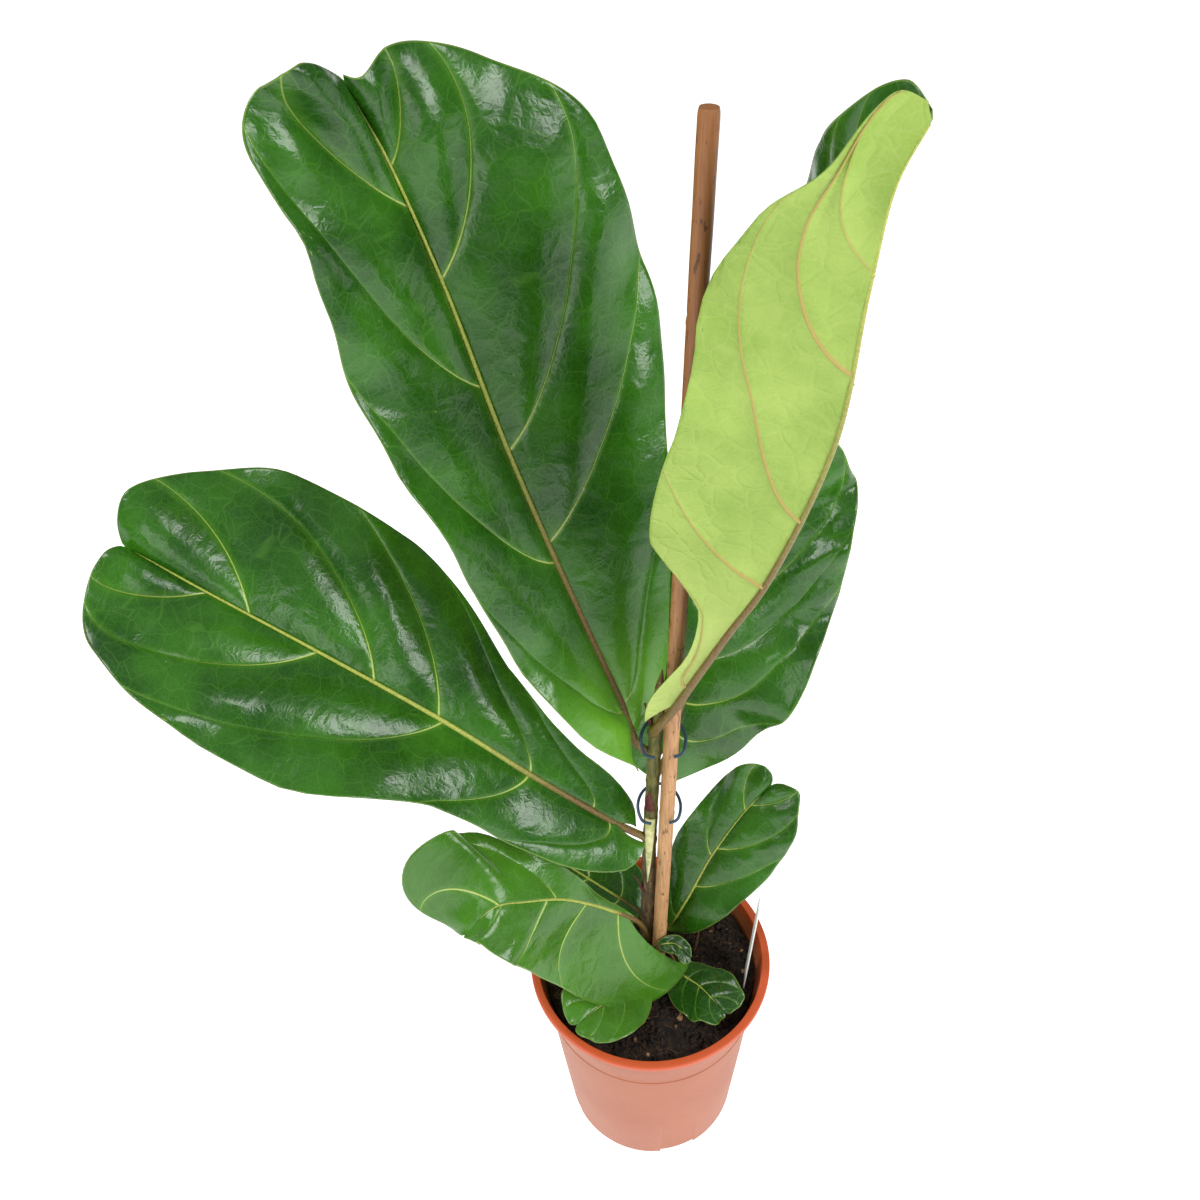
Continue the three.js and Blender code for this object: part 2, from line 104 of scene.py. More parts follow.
def ripples(x, y, size, seed, count=14):
    """A smooth random height over a plane, about -1 to 1, with lumps of about that size."""
    rng = np.random.default_rng(seed)
    total = np.zeros(np.broadcast(x, y).shape)
    for _ in range(count):
        turn = rng.uniform(0, 2 * math.pi)
        wave = 2 * math.pi / (size * rng.uniform(0.7, 2.2))
        shift = rng.uniform(0, 2 * math.pi)
        total += np.sin(wave * (x * math.cos(turn) + y * math.sin(turn)) + shift)
    return total / math.sqrt(count) * 0.8


# ---- meshes ------------------------------------------------------------------------------------

def new_object(name, points, faces, materials, slots=None, smooth=True):
    mesh = bpy.data.meshes.new(name)
    mesh.from_pydata([tuple(p) for p in points], [], [tuple(int(i) for i in f) for f in faces])
    for m in materials:
        mesh.materials.append(m)
    if slots is not None:
        mesh.polygons.foreach_set("material_index", np.asarray(slots, np.int32))
    mesh.polygons.foreach_set("use_smooth", np.full(len(mesh.polygons), smooth))
    mesh.update()
    thing = bpy.data.objects.new(name, mesh)
    bpy.context.scene.collection.objects.link(thing)
    return thing


def add_values(thing, name, values):
    values = np.asarray(values, np.float32)
    kind = "FLOAT" if values.ndim == 1 else "FLOAT_VECTOR"
    attribute = thing.data.attributes.new(name, kind, "POINT")
    attribute.data.foreach_set("value" if values.ndim == 1 else "vector", values.ravel())


def grid_faces(rows, columns, first=0, flip=False, closed=False):
    """Quads of a grid whose points are numbered row by row."""
    i = np.arange(rows - 1)[:, None]
    j = np.arange(columns if closed else columns - 1)[None, :]
    a = first + i * columns + j
    b = first + i * columns + (j + 1) % columns
    quads = np.stack([a, b, b + columns, a + columns], -1).reshape(-1, 4)
    return quads[:, ::-1] if flip else quads


def tube_points(centres, radii, sides, flat=1.0, up=(0, 0, 1)):
    """Round sections along a line, carried forward without twisting."""
    centres = np.asarray(centres, float)
    radii = np.broadcast_to(radii, (len(centres),))
    along = unit(np.gradient(centres, axis=0))
    across = np.cross(along[0], up)
    if np.linalg.norm(across) < 0.1:
        across = np.cross(along[0], (1, 0, 0))
    turn = np.linspace(0, 2 * math.pi, sides, endpoint=False)
    rings = []
    for i in range(len(centres)):
        across = unit(across - along[i] * (across @ along[i]))
        other = np.cross(along[i], across)
        ring = np.cos(turn)[:, None] * across + flat * np.sin(turn)[:, None] * other
        rings.append(centres[i] + radii[i] * ring)
    return np.array(rings)


def closed_rings(rings, first=0):
    """Points and faces of a closed body made from rings, with a fan at each end."""
    count, sides = rings.shape[:2]
    points = list(rings.reshape(-1, 3)) + [rings[0].mean(0), rings[-1].mean(0)]
    faces = [list(f) for f in grid_faces(count, sides, first, closed=True)]
    start = first + count * sides
    last = first + (count - 1) * sides
    for k in range(sides):
        n = (k + 1) % sides
        faces.append([start, first + n, first + k])
        faces.append([start + 1, last + k, last + n])
    return points, faces


def lathe(profile, turns=160):
    """Rings of a round body from a profile of (radius, height) that closes on the axis."""
    turn = np.linspace(0, 2 * math.pi, turns, endpoint=False)
    rings = [np.stack([r * np.cos(turn), r * np.sin(turn), np.full(turns, z)], -1) for r, z in profile]
    return np.array(rings)


def finish_piece(thing, node):
    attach(thing, "root")
    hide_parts(node)
    return thing


# ---- materials ---------------------------------------------------------------------------------

class Shader:
    """A small helper that adds and joins shader nodes."""

    def __init__(self, name):
        self.material = bpy.data.materials.new(name)
        self.material.use_nodes = True
        self.tree = self.material.node_tree
        self.base = self.tree.nodes["Principled BSDF"]

    def add(self, kind, settings=None, **inputs):
        node = self.tree.nodes.new(kind)
        for key, value in (settings or {}).items():
            setattr(node, key, value)
        for key, value in inputs.items():
            self.set(node, key.replace("_", " "), value)
        return node

    def set(self, node, key, value):
        socket = node.inputs[key]
        if isinstance(value, bpy.types.NodeSocket):
            self.tree.links.new(value, socket)
        else:
            socket.default_value = value

    def value(self, name):
        return self.add("ShaderNodeAttribute", {"attribute_name": name}).outputs["Fac"]

    def vector(self, name):
        return self.add("ShaderNodeAttribute", {"attribute_name": name}).outputs["Vector"]

    def place(self):
        return self.add("ShaderNodeTexCoord").outputs["Object"]

    def math(self, operation, a, b=0.0):
        node = self.add("ShaderNodeMath", {"operation": operation})
        self.set(node, 0, a)
        self.set(node, 1, b)
        return node.outputs[0]

    def ramp(self, value, low, high, start=0.0, end=1.0):
        """Goes smoothly from start to end as the value goes from low to high."""
        node = self.add("ShaderNodeMapRange", {"interpolation_type": "SMOOTHSTEP"})
        for index, number in enumerate((value, low, high, start, end)):
            self.set(node, index, number)
        return node.outputs[0]

    def mix(self, share, a, b):
        node = self.add("ShaderNodeMix", {"data_type": "RGBA"})
        for index, number in ((0, share), (6, a), (7, b)):
            self.set(node, index, number)
        return node.outputs[2]

    def noise(self, vector, scale, detail=4.0, rough=0.55):
        node = self.add("ShaderNodeTexNoise", Vector=vector, Scale=scale, Detail=detail, Roughness=rough)
        return node.outputs["Fac"]

    def cells(self, vector, scale, feature="DISTANCE_TO_EDGE"):
        node = self.add("ShaderNodeTexVoronoi", {"feature": feature}, Vector=vector, Scale=scale)
        return node.outputs["Distance"]

    def stretch(self, vector, scale):
        node = self.add("ShaderNodeMapping", Vector=vector)
        node.inputs["Scale"].default_value = scale
        return node.outputs["Vector"]

    def bend(self, vector, scale, amount):
        """The same coordinates, pushed about by a noise."""
        wobble = self.add("ShaderNodeTexNoise", Vector=vector, Scale=scale)
        bent = self.add("ShaderNodeVectorMath", {"operation": "MULTIPLY_ADD"})
        self.set(bent, 0, wobble.outputs["Color"])
        self.set(bent, 1, (amount, amount, 0.0))
        self.set(bent, 2, vector)
        return bent.outputs[0]

    def bump(self, height, strength, distance):
        node = self.add("ShaderNodeBump", Height=height, Strength=strength, Distance=distance)
        return node.outputs["Normal"]

    def height(self, vector):
        return self.add("ShaderNodeSeparateXYZ", Vector=vector).outputs["Z"]

    def leaf_net(self, flat):
        """Distances to the coarse and the fine net of small veins."""
        coarse = self.cells(self.bend(flat, 45.0, 0.012), 78.0)
        return coarse, self.cells(self.bend(flat, 90.0, 0.004), 300.0)

    def finish(self, color, roughness, normal=None):
        self.set(self.base, "Base Color", color)
        self.set(self.base, "Roughness", roughness)
        if normal is not None:
            self.set(self.base, "Normal", normal)
        return self.material


def rgb(red, green, blue):
    """A colour from screen values 0 to 255, as the shaders want it."""
    linear = [((c / 255 + 0.055) / 1.055) ** 2.4 if c > 10 else c / 255 / 12.92 for c in (red, green, blue)]
    return (*linear, 1.0)


def leaf_upper_material():
    """Dark glossy green; pale veins, a faint net of small veins between them, a pale margin."""
    s = Shader("leaf_upper")
    flat = s.vector("flat")
    vein = s.value("vein")
    reach = s.value("reach")
    strength = s.value("strength")
    cloud = s.noise(flat, 14.0, 3.0)
    green = s.mix(s.ramp(cloud, 0.3, 0.7), rgb(18, 68, 4), rgb(52, 112, 18))
    tone = s.value("tone")
    green = s.mix(s.ramp(tone, 0.0, 1.0), green, rgb(104, 168, 44))
    green = s.mix(s.ramp(tone, -1.0, 0.0, 1.0, 0.0), green, rgb(10, 34, 8))
    halo = s.math("MULTIPLY", s.ramp(vein, 0.0005, 0.006, 0.35, 0.0), strength)
    green = s.mix(halo, green, rgb(86, 142, 40))
    coarse, fine = s.leaf_net(flat)
    small = s.math("MAXIMUM", s.ramp(coarse, 0.0, 0.03, 0.2, 0.0), s.ramp(fine, 0.0, 0.12, 0.08, 0.0))
    green = s.mix(small, green, rgb(104, 160, 60))
    width = s.math("MULTIPLY", s.ramp(reach, 0.0, 1.0, 0.0013, 0.0006), s.ramp(strength, 0.0, 1.0, 0.5, 1.0))
    line = s.ramp(s.math("DIVIDE", vein, width), 0.3, 1.0, 1.0, 0.0)
    line = s.math("MULTIPLY", line, s.ramp(reach, 0.5, 1.0, 1.0, 0.4))
    line = s.math("MULTIPLY", line, s.ramp(strength, 0.1, 0.9, 0.22, 0.95))
    green = s.mix(line, green, rgb(182, 200, 104))
    speck = s.cells(flat, 150.0, "F1")
    patches = s.ramp(s.noise(flat, 35.0), 0.58, 0.64)
    speck_on = s.math("MULTIPLY", s.ramp(speck, 0.05, 0.09, 0.6, 0.0), patches)
    green = s.mix(speck_on, green, rgb(140, 172, 100))
    green = s.mix(s.ramp(s.value("edge"), 0.0002, 0.001, 0.7, 0.0), green, rgb(120, 150, 60))
    s.set(s.base, "Specular IOR Level", 0.5)
    rough = s.ramp(s.noise(flat, 70.0, 3.0), 0.3, 0.7, 0.2, 0.3)
    relief = s.math("ADD", s.ramp(coarse, 0.0, 0.4), s.math("MULTIPLY", s.ramp(fine, 0.0, 0.3), 0.2))
    return s.finish(green, rough, s.bump(relief, 0.28, 0.0008))


def leaf_under_material():
    """Pale matt green with raised, slightly browner veins and a faint net."""
    s = Shader("leaf_under")
    flat = s.vector("flat")
    reach = s.value("reach")
    strength = s.value("strength")
    cloud = s.noise(flat, 25.0, 4.0)
    green = s.mix(s.ramp(cloud, 0.3, 0.7), rgb(136, 168, 62), rgb(160, 188, 84))
    green = s.mix(s.ramp(s.value("along"), 0.05, 0.4, 0.6, 0.0), green, rgb(190, 206, 116))
    coarse, fine = s.leaf_net(flat)
    net = s.math("MAXIMUM", s.ramp(coarse, 0.0, 0.05, 0.16, 0.0), s.ramp(fine, 0.0, 0.14, 0.1, 0.0))
    green = s.mix(net, green, rgb(190, 208, 112))
    width = s.math("MULTIPLY", s.ramp(reach, 0.0, 1.0, 0.0018, 0.0008), s.ramp(strength, 0.0, 1.0, 0.5, 1.0))
    line = s.ramp(s.math("DIVIDE", s.value("vein"), width), 0.35, 1.0, 1.0, 0.0)
    green = s.mix(s.math("MULTIPLY", line, s.ramp(strength, 0.1, 0.9, 0.3, 0.85)), green, rgb(176, 150, 84))
    relief = s.math("ADD", s.ramp(coarse, 0.0, 0.15, 1.0, 0.0), s.ramp(fine, 0.0, 0.2, 0.3, 0.0))
    return s.finish(green, 0.5, s.bump(relief, 0.4, 0.0008))


def leaf_rim_material():
    return Shader("leaf_rim").finish(rgb(112, 144, 58), 0.45)


def rib_material():
    """Midrib and petiole: brown-green at the stem, turning pale yellow-green along the blade."""
    s = Shader("leaf_rib")
    place = s.place()
    speck = s.noise(place, 700.0, 3.0)
    stalk = s.mix(s.ramp(speck, 0.4, 0.65), rgb(112, 100, 46), rgb(112, 70, 36))
    rib = s.mix(s.ramp(speck, 0.35, 0.7), rgb(178, 184, 84), rgb(150, 164, 66))
    color = s.mix(s.ramp(s.value("tone"), 0.0, 0.75), rib, stalk)
    return s.finish(color, 0.42, s.bump(speck, 0.2, 0.0004))


def pot_material():
    s = Shader("terracotta_plastic")
    place = s.place()
    height = s.height(place)
    cloud = s.noise(place, 18.0, 3.0)
    body = s.mix(s.ramp(cloud, 0.3, 0.7), rgb(170, 92, 55), rgb(176, 100, 64))
    lip = rgb(206, 88, 44)
    color = s.mix(s.ramp(height, 0.169, 0.1715), body, lip)
    grain = s.noise(place, 1400.0, 2.0)
    rough = s.ramp(grain, 0.3, 0.7, 0.4, 0.52)
    dent = s.math("ADD", s.math("MULTIPLY", grain, 0.2), s.noise(place, 60.0, 2.0))
    return s.finish(color, rough, s.bump(dent, 0.12, 0.0006))


def soil_material(name, dark, light):
    s = Shader(name)
    place = s.place()
    share = s.ramp(s.noise(place, 260.0, 6.0, 0.65), 0.38, 0.68)
    grain = s.noise(place, 900.0, 5.0, 0.7)
    return s.finish(s.mix(share, dark, light), 0.92, s.bump(grain, 0.6, 0.0012))


def cane_material():
    s = Shader("bamboo")
    place = s.place()
    height = s.height(place)
    streak = s.noise(s.stretch(place, (1.0, 1.0, 0.05)), 900.0, 4.0)
    shade = s.mix(s.ramp(height, 0.3, 0.62), rgb(206, 158, 108), rgb(158, 104, 58))
    shade = s.mix(s.ramp(streak, 0.35, 0.7, 0.0, 0.45), shade, rgb(120, 72, 38))
    fleck = s.noise(s.stretch(place, (1.0, 1.0, 0.3)), 420.0, 2.0)
    shade = s.mix(s.ramp(fleck, 0.62, 0.68, 0.0, 0.7), shade, rgb(74, 42, 24))
    cut = s.ramp(height, 0.7612, 0.7618)
    color = s.mix(cut, shade, rgb(222, 196, 150))
    return s.finish(color, 0.5, s.bump(streak, 0.25, 0.0004))


def bark_material():
    s = Shader("bark")
    place = s.place()
    height = s.height(place)
    long_noise = s.noise(s.stretch(place, (1.0, 1.0, 0.25)), 420.0, 6.0, 0.65)
    brown = s.mix(s.ramp(long_noise, 0.35, 0.68), rgb(58, 46, 28), rgb(116, 92, 54))
    olive = s.mix(s.ramp(long_noise, 0.35, 0.68), rgb(78, 84, 36), rgb(132, 124, 62))
    color = s.mix(s.ramp(height, 0.24, 0.36), brown, olive)
    return s.finish(color, 0.68, s.bump(long_noise, 0.6, 0.0012))


def plain_material(name, color, rough, vary=None, scale=300.0):
    s = Shader(name)
    share = s.ramp(s.noise(s.place(), scale, 4.0), 0.35, 0.68)
    return s.finish(s.mix(share, color, vary or color), rough)


LEAF_MATERIALS = [leaf_upper_material(), leaf_under_material(), leaf_rim_material(), rib_material()]


# ---- leaves ------------------------------------------------------------------------------------
# The blade is a fan of curved rays from the midrib to the margin. The first rays point back and
# make the lobes at the base; the last ones point forward and make the notch at the tip.
LENGTH_STATIONS = [0, 0.05, 0.12, 0.2, 0.28, 0.45, 0.62, 0.78, 0.9, 0.96, 1]
ANGLE_STATIONS = [0, 0.12, 0.28, 0.45, 0.62, 0.78, 0.9, 1]
RAY_START = [-62, 5, 25, 30, 34, 40, 48, 60]
RAY_END = [-95, -20, 22, 38, 46, 55, 66, 80]
BLADE_THICKNESS = 0.9 * MM

# Lengths are in millimetres. left and right: the ray lengths at LENGTH_STATIONS. These rows, the
# midribs and the veins come from a least-squares fit to the photograph's outlines, rounded and in
# part changed. veins: where each side vein leaves the midrib, as a share of the blade, how
# far it has run forward by the margin, and how strong it is. wave: height at the margin, count,
# start. tone and base_tone: how light the green is, overall and at the base; a negative one is
# darker. brown: the share of the midrib by which its brown has faded out. relief: the height of
# the bulges between veins, 1 where it isn't given.
LEAVES = {
    "leaf_top_left": dict(
        midrib=[(4, 15, 374), (-6, 16, 387), (-11, 22, 405), (-32, 40, 460), (-68, 66, 564),
                (-94, 84, 657), (-113, 88, 720), (-125, 78, 759)],
        petiole=26, stalk=3, face=[(0.5, -0.85, 0.45), (0.42, -0.9, 0.35)], fold=(22, 8),
        left=[28, 36, 48, 54, 66, 86, 94, 100, 70, 46, 3],
        right=[4, 28, 44, 64, 90, 131, 129, 90, 47, 16, 3],
        veins_left=[(0.04, 0.24, 0.8), (0.30, 0.25, 1), (0.58, 0.24, 1), (0.83, 0.1, 1)],
        veins_right=[(0.05, 0.25, 0.7), (0.33, 0.13, 1), (0.48, 0.22, 1), (0.73, 0.12, 1),
                     (0.88, 0.03, 0.8)],
        wave_left=(5, 3.2, 0.1), wave_right=(5, 2.6, 0.6), tone=0.05, base_tone=0.9, brown=0.62, seed=1),
    "leaf_left": dict(
        midrib=[(1, 10, 298), (-20, 6, 321), (-71, 12, 365), (-119, 22, 405), (-189, 40, 451),
                (-251, 58, 487), (-292, 70, 512)],
        petiole=32, stalk=2.8, face=[(0.25, -0.55, 0.8), (0.2, -0.6, 0.75)], fold=(10, 10),
        left=[24, 42, 42, 44, 54, 98, 101, 85, 49, 23, 3],
        right=[20, 28, 28, 34, 52, 101, 109, 86, 57, 28, 3],
        veins_left=[(0.02, 0.17, 0.7), (0.20, 0.10, 0.9), (0.39, 0.3, 1), (0.64, 0.22, 1),
                    (0.85, 0.06, 0.8)],
        veins_right=[(0.06, 0.2, 0.6), (0.20, 0.19, 0.9), (0.40, 0.12, 1), (0.53, 0.21, 1),
                     (0.77, 0.08, 1)],
        wave_left=(5, 3, 0.3), wave_right=(5, 2.7, 0.8), tone=0.0, base_tone=0.1, brown=0.35, seed=2),
    "leaf_top_right": dict(
        midrib=[(4, 12, 399), (6, 3, 413), (11, -1, 426), (18, -4, 444), (43, -12, 503), (58, -18, 538),
                (81, -36, 635), (84, -50, 716), (87, -58, 761), (95, -62, 784)],
        petiole=46, stalk=3, face=[(-0.6, 0.8, 0.1), (-0.6, 0.8, 0.1)], fold=(28, 52),
        fold_beyond=(72, 52), ray_start=[-62, -15, 0, 16, 20, 26, 34, 40],
        ray_end=[-80, -30, -3, 24, 32, 41, 46, 55],
        left=[8, 14, 20, 30, 44, 72, 78, 64, 40, 25, 3],
        right=[28, 24, 12, 18, 61, 73, 75, 57, 29, 22, 6],
        veins_left=[(0.05, 0.2, 0.8), (0.2, 0.2, 0.4), (0.36, 0.25, 1), (0.52, 0.25, 0.6), (0.67, 0.2, 1),
                    (0.82, 0.1, 0.6)],
        veins_right=[(0.05, 0.2, 0.8), (0.30, 0.1, 1), (0.44, 0.4, 1), (0.69, 0.28, 1), (0.83, 0.12, 0.4)],
        wave_left=(3, 2.3, 0.2), wave_right=(5, 2.6, 0.5), tone=0.1, base_tone=0.8, brown=0.9, relief=0.3,
        seed=3),
    "leaf_rear_right": dict(
        midrib=[(5, 14, 355), (14, 33, 353), (23, 43, 383), (35, 50, 420), (57, 74, 478), (74, 88, 525),
                (84, 94, 558)],
        petiole=31, stalk=2.6, face=[(-0.2, -1, 0.3), (-0.1, -0.8, 0.6)], fold=(4, 4),
        left=[26, 38, 50, 62, 70, 72, 74, 60, 46, 26, 6],
        right=[28, 40, 50, 62, 70, 76, 73, 57, 38, 25, 9],
        veins_left=[(0.05, 0.2, 0.6), (0.22, 0.2, 1), (0.4, 0.25, 0.4), (0.58, 0.22, 1), (0.76, 0.12, 0.5)],
        veins_right=[(0.04, 0.15, 0.8), (0.14, 0.3, 1), (0.29, 0.3, 0.4), (0.46, 0.33, 1),
                     (0.8, 0.12, 0.8)],
        wave_left=(5, 2.5, 0.2), wave_right=(9, 3.4, 0.45), tone=0.05, base_tone=0.1, brown=0.3, seed=4),
    "leaf_lower_right": dict(
        midrib=[(-1, 9, 183), (14, 13, 190), (25, 14, 215), (45, 26, 255), (68, 36, 290), (84, 40, 310)],
        petiole=17, stalk=1.8, face=[(-0.2, -0.6, 0.75), (-0.1, -0.6, 0.75)], fold=(4, 4),
        left=[3, 8, 12, 18, 25, 33, 34, 35, 25, 13, 2],
        right=[4, 10, 18, 25, 35, 49, 50, 41, 29, 14, 2],
        veins_left=[(0.1, 0.2, 0.5), (0.51, 0.25, 1), (0.81, 0.06, 0.8)],
        veins_right=[(0.32, 0.2, 1), (0.56, 0.22, 1), (0.85, 0.06, 0.8)],
        wave_left=(3, 2.4, 0.2), wave_right=(3, 2.2, 0.7), tone=0.1, base_tone=0.1, brown=0.1, seed=5),
    "leaf_front": dict(
        midrib=[(-1, 7, 190), (-10, -8, 233), (-25, -12, 251), (-55, -26, 287), (-79, -38, 304),
                (-96, -46, 312), (-116, -54, 296)],
        petiole=56, stalk=2, face=[(0, -0.6, 0.8), (-0.1, -0.6, 0.8)], fold=(-8, -8),
        left=[80, 82, 63, 57, 56, 51, 40, 27, 15, 7, 2],
        right=[6, 5, 5, 7, 12, 28, 60, 64, 26, 12, 2],
        veins_left=[(0.06, -0.03, 0.9), (0.29, -0.12, 1), (0.54, -0.08, 1), (0.78, 0.02, 0.4)],
        veins_right=[(0.2, 0.15, 0.4), (0.49, 0.24, 1), (0.79, 0.06, 0.9)],
        wave_left=(1.8, 2.2, 0.1), wave_right=(3, 2.5, 0.3), tone=0.3, base_tone=0.1, brown=0.1,
        relief=0.6, seed=6),
    "leaf_rear_left": dict(
        midrib=[(-2, 10, 204), (-10, 18, 208), (-33, 32, 216), (-61, 48, 226), (-96, 66, 240)],
        petiole=14, stalk=1.8, face=[(0.2, -0.5, 0.8), (0.2, -0.5, 0.8)], fold=(6, 6),
        left=[8, 17, 26, 30, 33, 33, 30, 26, 18, 11, 3],
        right=[8, 17, 26, 30, 33, 33, 30, 26, 18, 11, 3],
        veins_left=[(0.1, 0.2, 0.6), (0.35, 0.2, 0.8), (0.65, 0.15, 0.8)],
        veins_right=[(0.1, 0.2, 0.6), (0.35, 0.2, 0.8), (0.65, 0.15, 0.8)],
        wave_left=(2, 2.4, 0.2), wave_right=(2, 2.2, 0.7), tone=-0.3, base_tone=0.0, brown=0.2, seed=7),
    "leaf_small_front": dict(
        midrib=[(-1, 5, 172), (-8, -16, 177), (-22, -33, 184), (-39, -46, 186), (-52, -55, 184)],
        petiole=23, stalk=1.3, face=[(0.1, -0.3, 1), (-0.1, -0.3, 1)], fold=(3, 3),
        left=[9, 12, 15, 22, 28, 31, 27, 19, 12, 7, 2],
        right=[9, 12, 15, 22, 28, 31, 30, 21, 12, 7, 2],
        veins_left=[(0.12, 0.15, 0.4), (0.36, 0.2, 0.6), (0.64, 0.16, 0.5)],
        veins_right=[(0.12, 0.15, 0.4), (0.36, 0.2, 0.6), (0.64, 0.16, 0.5)],
        wave_left=(1.5, 2.4, 0.2), wave_right=(1.5, 2.2, 0.7), tone=0.35, base_tone=0.3, brown=0.1, seed=8),
    "leaf_small_right": dict(
        midrib=[(1, 9, 169), (13, 6, 170), (21, -13, 172), (33, -27, 177), (40, -38, 180), (48, -48, 178)],
        petiole=35, stalk=1.2, face=[(-0.1, -0.3, 1), (0.1, -0.3, 1)], fold=(3, 3),
        left=[8, 11, 13, 15, 18, 25, 25, 19, 10, 6, 2],
        right=[8, 13, 18, 22, 25, 26, 22, 17, 8, 5, 2],
        veins_left=[(0.15, 0.15, 0.4), (0.4, 0.2, 0.6), (0.68, 0.16, 0.5)],
        veins_right=[(0.15, 0.15, 0.4), (0.4, 0.2, 0.6), (0.68, 0.16, 0.5)],
        wave_left=(1.5, 2.4, 0.2), wave_right=(1.5, 2.2, 0.7), tone=-0.4, base_tone=0.1, brown=0.1, seed=9),
    "leaf_small_foot": dict(
        midrib=[(-1, 5, 184), (0.5, -3, 191), (8, -7, 200), (17, -9, 203), (27, -16, 197)],
        petiole=22, stalk=1, face=[(-0.1, -0.6, 1), (0.1, -0.6, 1)], fold=(10, 10),
        left=[2, 3, 4, 5, 6, 7, 7, 5, 3, 2, 1],
        right=[2, 4, 5, 7, 8, 10, 10, 9, 6, 4, 1],
        veins_left=[(0.25, 0.15, 0.4), (0.6, 0.15, 0.4)],
        veins_right=[(0.25, 0.15, 0.4), (0.6, 0.15, 0.4)],
        wave_left=(0.6, 2.4, 0.2), wave_right=(0.6, 2.2, 0.7), tone=-0.5, base_tone=0.1, brown=0.1, seed=10),
}


class Leaf:
    """The shape of one leaf as a function of the share along its midrib and the reach sideways."""

    def __init__(self, spec):
        self.spec = spec
        self.path = Path(np.array(spec["midrib"], float) * MM)
        self.petiole = spec["petiole"] * MM
        self.blade = self.path.total - self.petiole

    def frame(self, share):
        length = self.petiole + share * self.blade
        centre = self.path.at(length)
        along = self.path.along(length)
        blend = np.clip(share, 0, 1)[..., None]
        face = (1 - blend) * np.array(self.spec["face"][0]) + blend * np.array(self.spec["face"][1])
        face = unit(face - along * (face * along).sum(-1, keepdims=True))
        return centre, along, face, np.cross(along, face)

    def side_length(self, share, side):
        lengths = self.spec["left"] if side < 0 else self.spec["right"]
        return monotone(LENGTH_STATIONS, lengths, share) * MM

    def surface(self, share, reach, side):
        """Points, outward normals of the upper side, and flat coordinates across and along."""
        centre, along, face, across = self.frame(share)
        start = np.radians(np.interp(share, ANGLE_STATIONS, self.spec.get("ray_start", RAY_START)))
        end = np.radians(np.interp(share, ANGLE_STATIONS, self.spec.get("ray_end", RAY_END)))
        length = self.side_length(share, side)
        near = reach - reach**2 / 2
        far = reach**2 / 2
        lateral = length * (np.cos(start) * near + np.cos(end) * far)
        forward = length * (np.sin(start) * near + np.sin(end) * far)
        half = 0 if side < 0 else 1
        fold = self.spec["fold"][half]
        beyond = self.spec.get("fold_beyond", self.spec["fold"])[half]
        turn = np.clip((share - 0.1) / 0.2, 0, 1)
        fold = np.radians(fold + (beyond - fold) * turn**2 * (3 - 2 * turn))[..., None]
        out = np.cos(fold) * side * across + np.sin(fold) * face
        up = np.cos(fold) * face - np.sin(fold) * side * across
        points = centre + lateral[..., None] * out + forward[..., None] * along
        flat = np.stack([side * lateral, share * self.blade + forward, np.zeros_like(lateral)], -1)
        return points, up, flat


def vein_rows(veins):
    """Places of the mesh rows: crowded beside each vein, with every vein on a row."""
    per_gap = 28
    t = np.arange(per_gap) / per_gap
    t = t - 0.8 * np.sin(2 * math.pi * t) / (2 * math.pi)
    return np.r_[(np.arange(len(veins) + 1)[:, None] + t).ravel(), len(veins) + 1]


